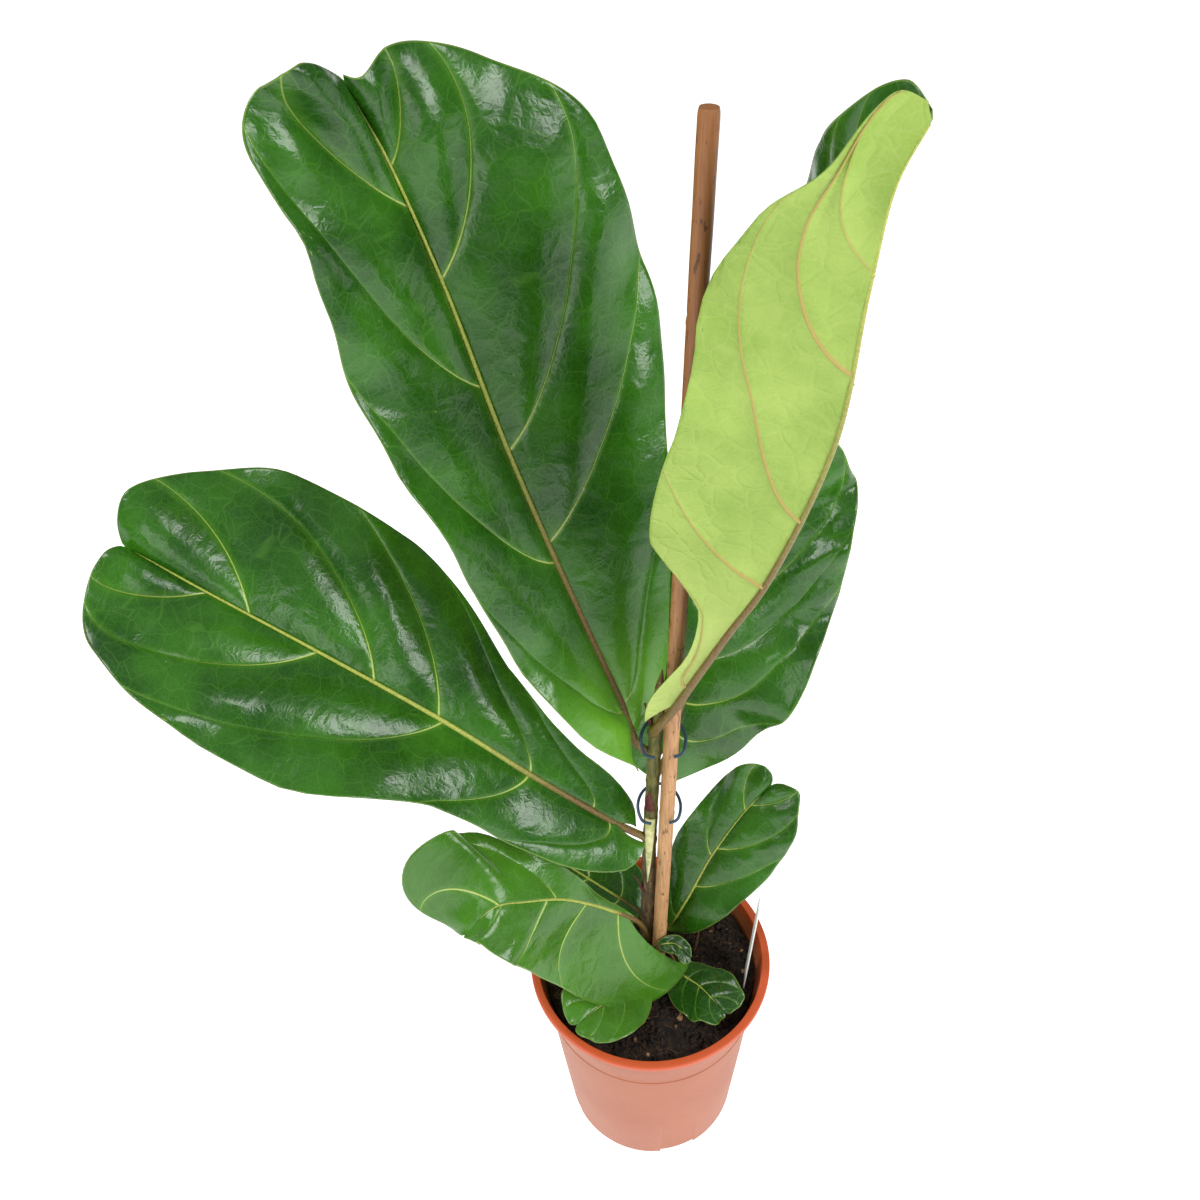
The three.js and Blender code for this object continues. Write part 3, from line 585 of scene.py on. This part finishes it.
def blade_side(leaf, side):
    """Upper and lower points of one half of the blade, with its texture values."""
    spec = leaf.spec
    veins = spec["veins_left"] if side < 0 else spec["veins_right"]
    rows = vein_rows(veins)
    knots = np.arange(len(veins) + 2)
    start = monotone(knots, [0.0, *[v[0] for v in veins], 1.0], rows)
    rise = monotone(knots, [0.0, *[v[1] for v in veins], 0.0], rows)
    widest = max(spec["left"] + spec["right"]) * MM
    columns = int(np.clip(widest / (2.2 * MM), 10, 48))
    reach = np.linspace(0, 1, columns + 1)[None, :] ** 0.92
    reach = np.broadcast_to(reach, (len(rows), columns + 1))
    share = np.clip(start[:, None] + rise[:, None] * reach**2, 0, 1)
    points, up, flat = leaf.surface(share, reach, side)
    length = leaf.side_length(share, side)
    gap = np.linalg.norm(np.gradient(points, axis=0), axis=-1) / np.gradient(rows)[:, None]
    nearest = np.clip(np.round(rows), 1, len(veins)).astype(int)
    vein = np.abs(rows - nearest)[:, None] * gap
    strength = np.array([v[2] for v in veins])[nearest - 1][:, None] + 0 * reach
    edge = (1 - reach) * length
    size = leaf.blade
    bulge = np.sin(math.pi * (rows % 1)) ** 0.8
    taper = np.clip(length / (0.25 * widest), 0, 1)
    relief = spec.get("relief", 1.0) * taper
    swell = size * (0.006 + 0.014 * share) * relief
    quilt = swell * bulge[:, None] * np.sin(math.pi * np.clip(reach, 0, 1) ** 0.9) ** 0.8
    height, count, first = spec["wave_left" if side < 0 else "wave_right"]
    ripple = np.sin(2 * math.pi * (count * share + first)) + 0.3 * np.sin(17 * count * share + 5 * first)
    wave = height * MM * reach**2.5 * ripple * taper
    broad = ripples(flat[..., 0], flat[..., 1], 0.3 * size, spec["seed"])
    lumps = ripples(flat[..., 0], flat[..., 1], 0.12 * size, spec["seed"] + 20)
    rumple = size * (0.006 * broad + 0.0035 * lumps * (0.4 + share)) * reach**0.8 * relief
    valley = -0.004 * size * np.exp(-((reach / 0.09) ** 2)) * relief
    groove = -0.35 * MM * np.exp(-((vein / (1.2 * MM)) ** 2)) * (1 - reach) * strength
    middle = points + up * (quilt + wave + rumple + valley + groove)[..., None]
    normal = unit(np.cross(np.gradient(middle, axis=1), np.gradient(middle, axis=0))) * side
    thick = BLADE_THICKNESS * np.clip(0.45 + 0.75 * (1 - reach), 0.45, 1) * min(1, size / (200 * MM) + 0.4)
    ridge = 1.1 * MM * np.exp(-((vein / (1.0 * MM)) ** 2)) * (1 - 0.75 * reach) * min(1, size / (200 * MM))
    ridge = ridge * strength
    top = middle + normal * (thick / 2)[..., None]
    bottom = middle - normal * (thick / 2 + ridge)[..., None]
    tone = spec["tone"] + spec["base_tone"] * np.exp(-((share / 0.13) ** 2))
    fineness = min(1, size / (200 * MM) + 0.15)
    data = dict(vein=vein / fineness, strength=strength, edge=edge, reach=reach, along=share,
                tone=tone, flat=flat)
    return top, bottom, data


def rib_rings(leaf):
    """Petiole and midrib as one tapering tube, with the arc shares of its rings."""
    spec = leaf.spec
    length = np.linspace(0, leaf.path.total * 0.995, 90)
    share = (length - leaf.petiole) / leaf.blade
    _, _, face, _ = leaf.frame(share)
    on_blade = np.clip(share, 0, 1)
    radius = spec["stalk"] * MM * np.where(share < 0, 1 - 0.12 * (1 + share * 3).clip(0, 1), 0.88)
    radius = radius * (1 - 0.8 * on_blade**0.75)
    base = np.exp(-((length / (5 * MM)) ** 2))
    radius = radius * (1 + 0.25 * base)
    sink = np.clip(share / 0.05 + 1, 0, 1)
    centres = leaf.path.at(length) - face * (radius * 0.45 * sink)[:, None]
    return tube_points(centres, radius, 14), np.repeat(share, 14)


def leaf_object(name, spec):
    leaf = Leaf(spec)
    points = []
    faces = []
    slots = []
    values = {key: [] for key in ("vein", "strength", "edge", "reach", "along", "tone", "flat")}

    def extend(new_points, new_values):
        points.extend(new_points.reshape(-1, 3))
        for key in values:
            width = 3 if key == "flat" else 1
            values[key].append(np.asarray(new_values[key], float).reshape(-1, width))

    for side in (-1, 1):
        top, bottom, data = blade_side(leaf, side)
        rows, columns = top.shape[:2]
        first = len(points)
        extend(top, data)
        extend(bottom, data)
        low = first + rows * columns
        upper = grid_faces(rows, columns, first, flip=side > 0)
        under = grid_faces(rows, columns, low, flip=side < 0)
        border = list(range(columns - 1)) + [i * columns + columns - 1 for i in range(rows)]
        border += [(rows - 1) * columns + j for j in range(columns - 2, -1, -1)]
        border += [i * columns for i in range(rows - 2, 0, -1)]
        ring = []
        for k, a in enumerate(border):
            b = border[(k + 1) % len(border)]
            quad = [first + a, low + a, low + b, first + b]
            ring.append(quad if side < 0 else quad[::-1])
        faces += [list(f) for f in upper] + [list(f) for f in under] + ring
        slots += [0] * len(upper) + [1] * len(under) + [2] * len(ring)
    rings, share = rib_rings(leaf)
    rib_points, rib_faces = closed_rings(rings, len(points))
    share = np.r_[share, share[0], share[-1]]
    nothing = np.zeros(len(share))
    flat = np.stack([nothing, share * leaf.blade, nothing], -1)
    brown = np.clip(1 - share / spec["brown"], 0, 1)
    extend(np.array(rib_points), dict(vein=nothing + 1, strength=nothing, edge=nothing + 1, reach=nothing,
                                      along=share, tone=brown, flat=flat))
    faces += rib_faces
    slots += [3] * len(rib_faces)
    thing = new_object(name + "_look", points, faces, LEAF_MATERIALS, slots)
    for key, parts in values.items():
        joined = np.vstack(parts)
        add_values(thing, key, joined if joined.shape[1] == 3 else joined[:, 0])
    return finish_piece(thing, name)


# ---- pot, soil and what stands in it -----------------------------------------------------------
POT_HEIGHT = 176
COLLAR_FOOT = 158
LIP_FOOT = 172
FOOT_RADIUS = 63.4
SHOULDER_RADIUS = 76.4
LINE_HEIGHT = 133  # the faint step moulded round the wall
SOIL_TOP = 164


def wall_radius(height):
    return FOOT_RADIUS + (SHOULDER_RADIUS - FOOT_RADIUS) * height / COLLAR_FOOT


def pot_object():
    line = wall_radius(LINE_HEIGHT)
    profile = [
        (0.01, 0), (34, 0), (35.8, 2.8), (37, 3), (55, 3), (56.4, 2.6), (57, 0.4), (58, 0),
        (62.4, 0), (63.2, 0.3), (63.45, 1), (wall_radius(60), 60),
        (line - 0.2, LINE_HEIGHT - 0.6), (line + 0.45, LINE_HEIGHT),
        (line + 0.5, LINE_HEIGHT + 0.8), (line + 0.2, LINE_HEIGHT + 1.2),
        (wall_radius(157) + 0.2, 157), (77.2, 158), (79.6, 158.6), (80.2, 159.6),
        (80.5, LIP_FOOT), (84.2, LIP_FOOT), (84.8, 172.3), (85, 172.9), (85, 174.8),
        (84.8, 175.5), (84.3, 175.9), (83.6, POT_HEIGHT), (80.4, POT_HEIGHT), (79.7, 175.8),
        (79.3, 175.3), (79.1, 174.4), (78.2, 161.5), (75.2, 157), (74.8, 156), (61.9, 4),
        (61, 2.2), (57.5, 1.9), (55, 4.9), (37, 4.9), (35, 1.9), (0.01, 1.9),
    ]
    profile = [(r * MM, z * MM) for r, z in profile]
    points, faces = closed_rings(lathe(profile))
    thing = new_object("pot_look", points, faces, [pot_material()])
    cut_pot(thing)
    mark_sharp(thing, 35)
    return finish_piece(thing, "pot")


def cut_pot(thing):
    """Drain holes in the channel and shallow notches in the foot."""
    cutters = []
    for i in range(6):
        turn = math.radians(60 * i)
        hole = [(0.0, -8), (3.5, -8), (3.5, 12), (0.0, 12)]
        points, faces = closed_rings(lathe([(max(r, 0.01) * MM, z * MM) for r, z in hole], 32))
        cutter = new_object("cutter", points, faces, [])
        cutter.location = (46 * MM * math.cos(turn), 46 * MM * math.sin(turn), 0)
        cutters.append(cutter)
    for i in range(4):
        turn = math.radians(-75 + 90 * i)
        bpy.ops.mesh.primitive_cube_add(size=1)
        cutter = bpy.context.object
        cutter.scale = (10 * MM, 27 * MM, 10 * MM)
        cutter.location = (FOOT_RADIUS * MM * math.cos(turn), FOOT_RADIUS * MM * math.sin(turn), 0)
        cutter.rotation_euler = (0, 0, turn)
        cutters.append(cutter)
    for cutter in cutters:
        cut = thing.modifiers.new("cut", "BOOLEAN")
        cut.operation = "DIFFERENCE"
        cut.solver = "EXACT"
        cut.object = cutter
        bpy.context.view_layer.objects.active = thing
        bpy.ops.object.modifier_apply(modifier=cut.name)
        bpy.data.objects.remove(cutter)


def mark_sharp(thing, degrees):
    """Smooth shading, but with crisp edges where faces meet at more than that angle."""
    thing.data.polygons.foreach_set("use_smooth", np.full(len(thing.data.polygons), True))
    bpy.ops.object.select_all(action="DESELECT")
    thing.select_set(True)
    bpy.context.view_layer.objects.active = thing
    bpy.ops.object.shade_smooth_by_angle(angle=math.radians(degrees))


def soil_object():
    turns = 220
    inner = (wall_radius(COLLAR_FOOT) - 2.0) * MM
    rings = []
    turn = np.linspace(0, 2 * math.pi, turns, endpoint=False)
    low = 6 * MM
    foot = (wall_radius(6) - 3.5) * MM
    for r, z in ((0.01 * MM, low), (foot, low), (inner - 0.6 * MM, 150 * MM)):
        rings.append(np.stack([r * np.cos(turn), r * np.sin(turn), np.full(turns, z)], -1))
    for share in np.linspace(1, 0.002, 80):
        x = inner * share * np.cos(turn)
        y = inner * share * np.sin(turn)
        lumps = 1.1 * ripples(x, y, 18 * MM, 21) + 0.7 * ripples(x, y, 6 * MM, 22)
        lumps = lumps + 0.3 * ripples(x, y, 2.2 * MM, 23)
        z = SOIL_TOP * MM + lumps * MM - 3 * MM * share**4
        rings.append(np.stack([x, y, z], -1))
    points, faces = closed_rings(np.array(rings))
    dark = soil_material("compost", rgb(12, 8, 6), rgb(58, 39, 27))
    thing = new_object("soil_look", points, faces, [dark])
    return finish_piece(thing, "soil")


def crumb_points(size, rng):
    """An uneven lump: four uneven rings of six points, widest in the middle, turned at random."""
    turn = np.linspace(0, 2 * math.pi, 6, endpoint=False) + rng.uniform(0, 1)
    rings = []
    for z, r in ((-0.45, 0.45), (-0.1, 0.95), (0.25, 0.85), (0.5, 0.35)):
        radius = r * rng.uniform(0.75, 1.25, 6)
        rings.append(np.stack([radius * np.cos(turn), radius * np.sin(turn), np.full(6, z)], -1))
    rings = np.array(rings) * size * rng.uniform(0.6, 1.3, 3)
    return rings @ np.array(Matrix.Rotation(rng.uniform(0, 6.28), 3, rng.normal(size=3)))


def fibre_points(length, radius, rng):
    bend = rng.normal(size=(5, 3)) * length * 0.12
    bend[:, 2] = np.abs(bend[:, 2]) * 0.5
    turn = rng.uniform(0, 2 * math.pi)
    way = np.array([math.cos(turn), math.sin(turn), 0.1])
    line = np.linspace(-0.5, 0.5, 5)[:, None] * length * way + bend
    return tube_points(smooth_path(line, 9), radius * np.linspace(1, 0.6, 9), 5)


def scatter(name, count, material, make):
    """One object of many loose pieces lying on the soil."""
    rng = np.random.default_rng(len(name) + count)
    points = []
    faces = []
    for _ in range(count):
        radius = 71 * MM * math.sqrt(rng.uniform(0.003, 1))
        turn = rng.uniform(0, 2 * math.pi)
        x = radius * math.cos(turn)
        y = radius * math.sin(turn)
        if math.hypot(x - 6 * MM, y) < 6.5 * MM or math.hypot(x + 1 * MM, y - 8 * MM) < 7 * MM:
            continue
        z = SOIL_TOP * MM + rng.uniform(-0.3, 1.2) * MM - 3 * MM * (radius / (74 * MM)) ** 4
        rings = make(rng) + np.array([x, y, z])
        new_points, new_faces = closed_rings(rings, len(points))
        points += new_points
        faces += new_faces
    thing = new_object(name, points, faces, [material])
    return finish_piece(thing, "soil")


def cane_object():
    foot = np.array([0.6, -4.8, 31]) * MM
    way = np.array([0.039, 0.037, 1])
    length = 731 * MM
    steps = 420
    t = np.linspace(0, length, steps)
    height = foot[2] + t
    radius = np.full(steps, 4.75) * MM
    for node in (212, 330, 452, 560, 668):
        away = (height - node * MM) / MM
        radius += 0.28 * MM * np.exp(-((away / 1.6) ** 2)) - 0.22 * MM * np.exp(-(((away - 3.2) / 1.2) ** 2))
    radius[-1] -= 0.5 * MM
    radius[-2] -= 0.12 * MM
    rings = tube_points(foot + t[:, None] * way / np.linalg.norm(way), radius, 40)
    wobble = 1 + 0.012 * ripples(rings[..., 2], rings[..., 0] * 6, 40 * MM, 31)
    centres = rings.mean(1, keepdims=True)
    rings = centres + (rings - centres) * wobble[..., None]
    points, faces = closed_rings(rings)
    thing = new_object("cane_look", points, faces, [cane_material()])
    mark_sharp(thing, 50)
    return finish_piece(thing, "cane")


STEM_FOOT = 140
STEM = Path(np.array([(-1, 8, STEM_FOOT), (-0.5, 8, 205), (0.5, 9.5, 270), (3, 12.5, 335),
                      (5.5, 15, 385), (8, 15.5, 425)]) * MM)


def stem_radius(length):
    return (5 - length / STEM.total) * MM


def stem_object():
    steps = 620
    length = np.linspace(0, STEM.total, steps)
    radius = stem_radius(length)
    for k, node in enumerate((34, 52, 70, 88, 112, 140, 158, 186, 214, 240, 262)):
        away = length / MM - node
        swell = 0.35 + 0.15 * math.sin(k * 2.3)
        radius += swell * MM * np.exp(-((away / 2.4) ** 2)) - 0.2 * MM * np.exp(-(((away - 4) / 1) ** 2))
    rings = tube_points(STEM.at(length), radius, 48)
    turn = np.linspace(0, 1, 48, endpoint=False)[None, :]
    bark = ripples(length[:, None] * 0.4, turn * 32 * MM, 3 * MM, 41) * 0.035
    bark = bark + ripples(length[:, None], turn * 32 * MM, 9 * MM, 42) * 0.03
    centres = rings.mean(1, keepdims=True)
    rings = centres + (rings - centres) * (1 + bark)[..., None]
    points, faces = closed_rings(rings)
    thing = new_object("stem_look", points, faces, [bark_material()])
    return finish_piece(thing, "main_stem")


def bud_object():
    start = STEM.at(np.array([STEM.total]))[0]
    way = STEM.along(np.array([STEM.total]))[0]
    share = np.linspace(0, 1, 40)
    radius = 3 * MM * np.interp(share, (0, 0.12, 0.3, 0.6, 0.85, 1), (0.9, 1.02, 0.95, 0.62, 0.28, 0.05))
    centres = start + share[:, None] * 24 * MM * way
    centres[:, 0] += 0.6 * MM * share**2
    rings = tube_points(centres, radius, 28)
    turn = np.linspace(0, 2 * math.pi, 28, endpoint=False)
    middle = rings.mean(1, keepdims=True)
    wrap = 1 + 0.09 * np.cos(turn[None, :] + share[:, None] * 5) ** 8
    points, faces = closed_rings(middle + (rings - middle) * wrap[..., None])
    scale = plain_material("bud_scale", rgb(120, 128, 60), 0.5, rgb(120, 62, 40), 500.0)
    return finish_piece(new_object("bud_look", points, faces, [scale]), "bud")


def clip_object(name, height, node):
    """An open wire ring round stem and cane that dips at the front, where both ends hook in."""
    onto = STEM.at(np.array([(height - 140) * MM]))[0]
    cane = np.array([0.6 + 0.039 * (height - 31), -4.8 + 0.037 * (height - 31), height]) * MM
    centre = (onto + cane) / 2
    centre[2] = height * MM
    turns = 14
    line = []
    for i in range(turns + 1):
        turn = math.radians(-59 + 298 * i / turns)
        hook = max(0.0, abs(i - turns / 2) - turns / 2 + 1)
        radius = 13.5 - 2.5 * hook
        turned = (radius * math.cos(turn), radius * math.sin(turn), 6 * math.sin(turn))
        line.append(centre + MM * np.array(turned))
    rings = tube_points(smooth_path(line, 130), 1.0 * MM, 14)
    points, faces = closed_rings(rings)
    wire = plain_material(name + "_coat", rgb(38, 68, 84), 0.35)
    return finish_piece(new_object(name, points, faces, [wire]), node)


def label_object():
    """A thin tapered blade with rounded corners, its pointed end in the soil."""
    half = 8
    outline = [(-1.5, 0), (1.5, 0), (half, 26), (half, 136)]
    outline += [(half - 3 + 3 * math.cos(a), 137 + 3 * math.sin(a)) for a in np.radians(range(10, 91, 16))]
    outline += [(-half + 3 + 3 * math.cos(a), 137 + 3 * math.sin(a)) for a in np.radians(range(90, 171, 16))]
    outline += [(-half, 136), (-half, 26)]
    front = np.array([(x, -0.42, z) for x, z in outline]) * MM
    back = np.array([(x, 0.42, z) for x, z in outline]) * MM
    points, faces = closed_rings(np.array([back, front]))
    white = plain_material("label_white", rgb(240, 240, 236), 0.4)
    thing = new_object("plant_label_look", points, faces, [white], smooth=False)
    place = Matrix.Translation(Vector((63.5, -14, 111)) * MM)
    lean = Matrix.Rotation(math.radians(3.5), 4, "Y")
    thing.matrix_world = place @ lean @ Matrix.Rotation(math.radians(78), 4, "Z")
    return finish_piece(thing, "plant_label")


def twig_object():
    way = np.array([0.1, -0.05, 1])
    t = np.linspace(0, 44, 60)
    line = np.array([31, 10, 152]) + t[:, None] * way
    line[:, 0] += 1.1 * np.sin(t / 44 * math.pi)
    radius = 1.15 - 0.012 * t + 0.12 * np.sin(t * 0.9) * np.sin(t * 0.31)
    points, faces = closed_rings(tube_points(line * MM, radius * MM, 14))
    bark = plain_material("twig_bark", rgb(122, 92, 60), 0.8, rgb(70, 48, 32), 500.0)
    return finish_piece(new_object("twig_look", points, faces, [bark]), "twig")


# Sheaths at the stem: height of the base, place round the stem in degrees from +X, length (down
# where negative), width and how far the tip stands off, in millimetres.
SHEATHS = {
    "stipule_upper": dict(height=404, turn=195, length=20, width=5, stand=4),
    "stipule_middle": dict(height=330, turn=250, length=22, width=6, stand=4),
    "stipule_lower": dict(height=246, turn=200, length=18, width=5, stand=5),
    "dry_stipule": dict(height=322, turn=262, length=-60, width=6, stand=2),
}


def sheath_object(name, spec, material):
    """A pointed scale, hollow towards the stem, as a closed thin sheet."""
    turn = math.radians(spec["turn"])
    out = np.array([math.cos(turn), math.sin(turn), 0])
    heights = (spec["height"] - STEM_FOOT, spec["height"] + spec["length"] - STEM_FOOT)
    start, end = (STEM.at(np.array([h * MM]))[0] for h in heights)
    start = start + out * (stem_radius(heights[0] * MM) + 0.8 * MM)
    end = end + out * (stem_radius(heights[1] * MM) + (0.8 + spec["stand"]) * MM)
    along = unit(end - start)
    across = unit(np.cross(along, out))
    share = np.linspace(0, 1, 40)[:, None]
    side = np.linspace(-1, 1, 17)[None, :]
    spread = (spec["width"] / 2 * (1 - share**1.6) + 0.25) * MM
    curl = -0.4 * spread * side**2 + 0.5 * MM * np.sin(share * 9 + side * 2) * share
    lift = spec["stand"] * MM * 0.4 * (share**2 - share)
    centre = start + share[..., None] * (end - start)
    middle = centre - (side * spread)[..., None] * across + (curl + lift)[..., None] * out
    top = middle + out * 0.25 * MM
    low = middle - out * 0.25 * MM
    rings = np.concatenate([top, low[:, ::-1]], axis=1)
    points, faces = closed_rings(rings)
    thing = new_object(name + "_look", points, faces, [material])
    mark_sharp(thing, 60)
    return finish_piece(thing, name)


def build_plant():
    for name, spec in LEAVES.items():
        leaf_object(name, spec)
    pot_object()
    soil_object()
    crumbs = soil_material("crumbs", rgb(20, 13, 9), rgb(54, 38, 26))
    chips = soil_material("chips", rgb(104, 74, 48), rgb(170, 132, 92))
    threads = soil_material("threads", rgb(62, 42, 28), rgb(112, 82, 56))
    scatter("soil_crumbs", 1300, crumbs, lambda rng: crumb_points(rng.uniform(0.8, 2.6) * MM, rng))
    scatter("soil_chips", 60, chips, lambda rng: crumb_points(rng.uniform(0.8, 2.2) * MM, rng))
    scatter("soil_threads", 260, threads, lambda rng: fibre_points(rng.uniform(6, 20) * MM, 0.28 * MM, rng))
    cane_object()
    stem_object()
    bud_object()
    clip_object("clip_upper_look", 392, "clip_upper")
    clip_object("clip_lower_look", 332, "clip_lower")
    label_object()
    twig_object()
    brown = plain_material("brown_sheath", rgb(104, 36, 30), 0.6, rgb(58, 22, 20), 400.0)
    straw = plain_material("dry_sheath", rgb(226, 220, 168), 0.65, rgb(176, 186, 110), 160.0)
    for name, spec in SHEATHS.items():
        dry = name == "dry_stipule"
        sheath_object(name, spec, straw if dry else brown)


# ---- camera, light, floor ----------------------------------------------------------------------

# The camera's place in metres, how far it looks down, its roll in radians, and its lens and sensor
# in millimetres: the rounded result of a fit to the pot and the cane.
CAMERA_PLACE = (-0.0238, -0.4658, 0.9374)
CAMERA_PITCH = math.radians(42)
CAMERA_ROLL = -0.046
CAMERA_LENS = 36
CAMERA_SENSOR = 36
FLOOR_HALF = 30
FLOOR_GLOW = 0.75
WORLD_LOW, WORLD_HIGH = 0.08, 0.4
# Lamps: name, place and target in metres, size in metres, power in watts.
LAMPS = [
    ("left", (-2.0, -0.5, 2.6), (0, 0, 0.4), 1.5, 46),
    ("right", (1.7, -1.4, 1.9), (0, 0, 0.5), 1.4, 42),
    ("front", (-0.6, -3.2, 1.5), (0, 0, 0.5), 1.4, 14),
]


def add_camera():
    roll = CAMERA_ROLL
    forward = np.array([0, math.cos(CAMERA_PITCH), -math.sin(CAMERA_PITCH)])
    right = np.array([1.0, 0, 0])
    up = np.cross(right, forward)
    across = math.cos(roll) * right + math.sin(roll) * up
    above = -math.sin(roll) * right + math.cos(roll) * up
    data = bpy.data.cameras.new("camera")
    data.lens = CAMERA_LENS
    data.sensor_width = CAMERA_SENSOR
    camera = bpy.data.objects.new("camera", data)
    bpy.context.scene.collection.objects.link(camera)
    turn = Matrix((across, above, -forward)).transposed().to_4x4()
    camera.matrix_world = Matrix.Translation(CAMERA_PLACE) @ turn
    bpy.context.scene.camera = camera


def add_light(name, place, target, size, power):
    data = bpy.data.lights.new(name, "AREA")
    data.shape = "DISK"
    data.size = size
    data.energy = power
    light = bpy.data.objects.new(name, data)
    light.location = place
    light.rotation_euler = (Vector(target) - Vector(place)).to_track_quat("-Z", "Y").to_euler()
    bpy.context.scene.collection.objects.link(light)


def add_floor():
    size = FLOOR_HALF
    corners = [(-size, -size, 0), (size, -size, 0), (size, size, 0), (-size, size, 0)]
    s = Shader("pale_floor")
    pale = s.finish(rgb(236, 236, 236), 0.9)
    s.set(s.base, "Emission Color", rgb(255, 255, 255))
    s.set(s.base, "Emission Strength", FLOOR_GLOW)
    floor = new_object("floor", corners, [(0, 1, 2, 3)], [pale], smooth=False)


def add_world():
    """A white room, and a light from it that is dimmer near the horizon than overhead."""
    world = bpy.data.worlds.new("studio")
    world.use_nodes = True
    nodes = world.node_tree.nodes
    links = world.node_tree.links
    direction = nodes.new("ShaderNodeTexCoord")
    height = nodes.new("ShaderNodeSeparateXYZ")
    ramp = nodes.new("ShaderNodeMapRange")
    ramp.inputs["From Min"].default_value = 0.0
    ramp.inputs["From Max"].default_value = 0.9
    ramp.inputs["To Min"].default_value = WORLD_LOW
    ramp.inputs["To Max"].default_value = WORLD_HIGH
    links.new(direction.outputs["Generated"], height.inputs["Vector"])
    links.new(height.outputs["Z"], ramp.inputs["Value"])
    rays = nodes.new("ShaderNodeLightPath")
    seen = nodes.new("ShaderNodeMix")
    seen.inputs["B"].default_value = 1.0
    links.new(rays.outputs["Is Camera Ray"], seen.inputs["Factor"])
    links.new(ramp.outputs["Result"], seen.inputs["A"])
    links.new(seen.outputs["Result"], nodes["Background"].inputs["Strength"])
    nodes["Background"].inputs["Color"].default_value = (1, 1, 1, 1)
    bpy.context.scene.world = world


def set_stage():
    add_floor()
    add_world()
    for lamp in LAMPS:
        add_light(*lamp)
    add_camera()
    bpy.context.scene.view_settings.view_transform = "Standard"


build_plant()
set_stage()
